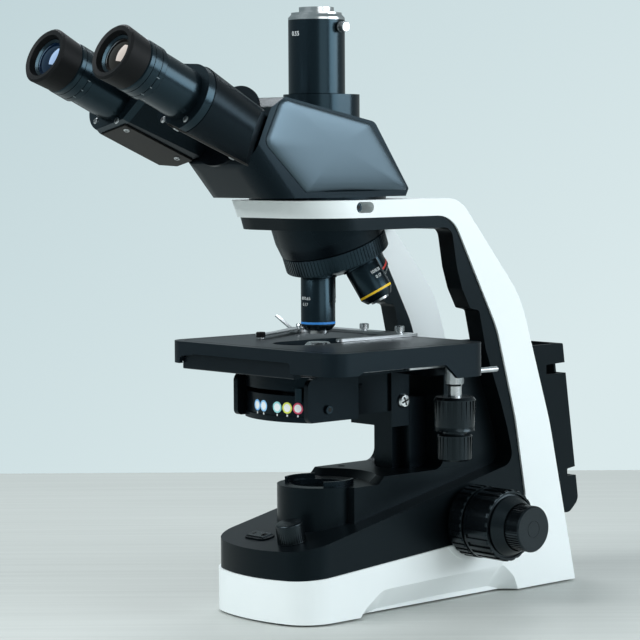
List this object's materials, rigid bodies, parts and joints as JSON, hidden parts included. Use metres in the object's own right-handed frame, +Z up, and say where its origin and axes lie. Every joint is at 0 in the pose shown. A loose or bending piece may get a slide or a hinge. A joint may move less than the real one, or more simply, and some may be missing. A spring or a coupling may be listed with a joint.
{
  "type": "compound microscope",
  "caption": "Trinocular upright microscope: folding inclined eyepieces, camera tube, revolving nosepiece, mechanical stage, condenser and coaxial focus knobs on a two-legged stand.",
  "frame": {"origin": "where the optical axis of the objective and camera tube meets the bench plane under the rubber feet", "axes": "+Z up along the optical axis, -Y towards the user and the eyepieces, +X to the user's right"},
  "size_m": [0.238, 0.4627, 0.4405],
  "materials": {
    "white_paint": "satin white paint",
    "white_plastic": "satin",
    "black_plastic": "fine satin texture",
    "black_metal": "satin black anodised",
    "stage_metal": "satin dark grey paint",
    "cover_grey": "matt dark grey",
    "panel_grey": "satin",
    "steel": "brushed",
    "silver": "satin chrome",
    "rubber": "matt",
    "lens_glass": "polished",
    "lamp_body": "bare",
    "knob_black": "satin"
  },
  "bodies": {
    "stand": {"arch_shell": "white_paint", "base_shell": "white_plastic", "bottom_plate": "steel", "rubber_feet": "rubber", "base_cover": "black_plastic", "filter_ring": "black_plastic", "field_lens": "lens_glass", "led_lamp": "lamp_body", "cord_winder": "black_plastic", "power_inlet": "knob_black", "focus_post": "black_metal", "arm_lining": "black_plastic", "nosepiece_housing": "black_metal"},
    "tension": {"tension_collar": "knob_black"},
    "coarse": {"coarse_knob_right": "knob_black", "coarse_knob_left": "knob_black"},
    "fine": {"fine_knob_right": "knob_black", "fine_knob_left": "knob_black"},
    "dimmer": {"brightness_knob": "knob_black"},
    "rocker": {"power_rocker": "knob_black"},
    "lift": {"stage_carrier": "black_metal", "stage_frame": "black_metal"},
    "stage": {"stage_plate": "stage_metal", "guide_rod": "steel", "stage_front_bar": "black_metal"},
    "slide_carriage": {"slide_holder": "steel", "holder_screws": "silver"},
    "finger": {"slide_finger": "steel"},
    "y_drive": {"y_drive_sleeve": "silver", "stage_y_knob": "knob_black"},
    "x_drive": {"stage_x_knob": "knob_black"},
    "condenser": {"condenser_body": "black_metal", "condenser_lens": "silver"},
    "iris": {"iris_lever": "black_metal"},
    "nosepiece": {"nosepiece_turret": "black_metal", "objective_40x": "black_metal", "objective_10x": "black_metal", "objective_4x": "black_metal", "objective_100x": "black_metal"},
    "head": {"head_body": "black_metal", "head_side_panels": "panel_grey", "phototube_collar": "black_metal", "photo_tube": "black_metal", "camera_adapter": "silver", "hinge_spindle": "black_metal"},
    "tube_screw": {"tube_thumb_screw": "silver"},
    "wing_r": {"wing_right": "black_metal", "wing_cover_right": "cover_grey", "wing_plate_right": "black_metal", "eyepiece_tube_right": "black_metal", "eyecup_right": "rubber", "eye_lens_right": "lens_glass"},
    "wing_l": {"wing_left": "black_metal", "wing_cover_left": "cover_grey", "wing_plate_left": "black_metal", "eyepiece_tube_left": "black_metal", "eyecup_left": "rubber", "eye_lens_left": "lens_glass"},
    "dioptre_r": {"dioptre_ring_right": "black_metal"},
    "dioptre_l": {"dioptre_ring_left": "black_metal"}
  },
  "joints": [
    {"name": "stage_lift", "type": "slide", "parent": "stand", "child": "lift", "axis": [0, 0, 1], "range_m": [-0.015, 0.0045]},
    {"name": "coarse_turn", "type": "hinge", "parent": "stand", "child": "coarse", "pos_m": [0, 0.103, 0.0605], "axis": [1, 0, 0], "range_deg": [-160, 60]},
    {"name": "fine_turn", "type": "hinge", "parent": "stand", "child": "fine", "pos_m": [0, 0.103, 0.0605], "axis": [1, 0, 0], "continuous": true},
    {"name": "tension_turn", "type": "hinge", "parent": "stand", "child": "tension", "pos_m": [0, 0.103, 0.0605], "axis": [1, 0, 0], "range_deg": [-45, 45]},
    {"name": "dimmer_turn", "type": "hinge", "parent": "stand", "child": "dimmer", "pos_m": [0.021, -0.0455, 0.05692], "axis": [0, -0.2102, 0.9777], "range_deg": [-135, 135]},
    {"name": "power_rock", "type": "hinge", "parent": "stand", "child": "rocker", "pos_m": [-0.014, -0.046, 0.05771], "axis": [0, 0.9777, 0.2102], "range_deg": [-2.5, 2.5]},
    {"name": "stage_depth", "type": "slide", "parent": "lift", "child": "stage", "axis": [0, 1, 0], "range_m": [-0.025, 0.022]},
    {"name": "slide_width", "type": "slide", "parent": "stage", "child": "slide_carriage", "axis": [1, 0, 0], "range_m": [-0.012, 0.064]},
    {"name": "finger_open", "type": "hinge", "parent": "slide_carriage", "child": "finger", "pos_m": [-0.078, 0.052, 0.2], "axis": [0, 0, 1], "range_deg": [-20, 0], "stiffness_Nm_per_rad": 0.05, "springref_deg": 20.05},
    {"name": "depth_knob", "type": "hinge", "parent": "stage", "child": "y_drive", "pos_m": [0.074, 0.067, 0.14], "axis": [0, 0, 1], "range_deg": [-185, 165]},
    {"name": "width_knob", "type": "hinge", "parent": "stage", "child": "x_drive", "pos_m": [0.074, 0.067, 0.14], "axis": [0, 0, 1], "range_deg": [-100, 470]},
    {"name": "condenser_lift", "type": "slide", "parent": "lift", "child": "condenser", "axis": [0, 0, 1], "range_m": [-0.018, 0]},
    {"name": "iris_turn", "type": "hinge", "parent": "condenser", "child": "iris", "pos_m": [0, 0, 0.1638], "axis": [0, 0, 1], "range_deg": [-66, 0]},
    {"name": "nosepiece_turn", "type": "hinge", "parent": "stand", "child": "nosepiece", "pos_m": [0, 0, 0.309], "axis": [0, 0.3584, -0.9336], "continuous": true},
    {"name": "head_turn", "type": "hinge", "parent": "stand", "child": "head", "pos_m": [0, 0, 0.302], "axis": [0, 0, 1], "continuous": true},
    {"name": "tube_screw_turn", "type": "hinge", "parent": "head", "child": "tube_screw", "pos_m": [0.025, 0.004, 0.4257], "axis": [1, 0, 0], "continuous": true},
    {"name": "wing_fold_right", "type": "hinge", "parent": "head", "child": "wing_r", "pos_m": [0, -0.21027, 0.41285], "axis": [0, -0.9063, 0.4226], "range_deg": [-34.1, 0]},
    {"name": "wing_fold_left", "type": "hinge", "parent": "head", "child": "wing_l", "pos_m": [0, -0.21027, 0.41285], "axis": [0, -0.9063, 0.4226], "range_deg": [0, 34.1]},
    {"name": "dioptre_turn_right", "type": "hinge", "parent": "wing_r", "child": "dioptre_r", "pos_m": [0.0378, -0.215, 0.4027], "axis": [0, -0.9063, 0.4226], "range_deg": [-90, 90]},
    {"name": "dioptre_turn_left", "type": "hinge", "parent": "wing_l", "child": "dioptre_l", "pos_m": [-0.0378, -0.215, 0.4027], "axis": [0, -0.9063, 0.4226], "range_deg": [-90, 90]}
  ],
  "couplings": [
    {"joint": "coarse_turn", "follows": "stage_lift", "rad_per_m": 166.67},
    {"joint": "depth_knob", "follows": "stage_depth", "rad_per_m": 125},
    {"joint": "width_knob", "follows": "slide_width", "rad_per_m": 125},
    {"joint": "wing_fold_left", "follows": "wing_fold_right", "ratio": -1}
  ]
}
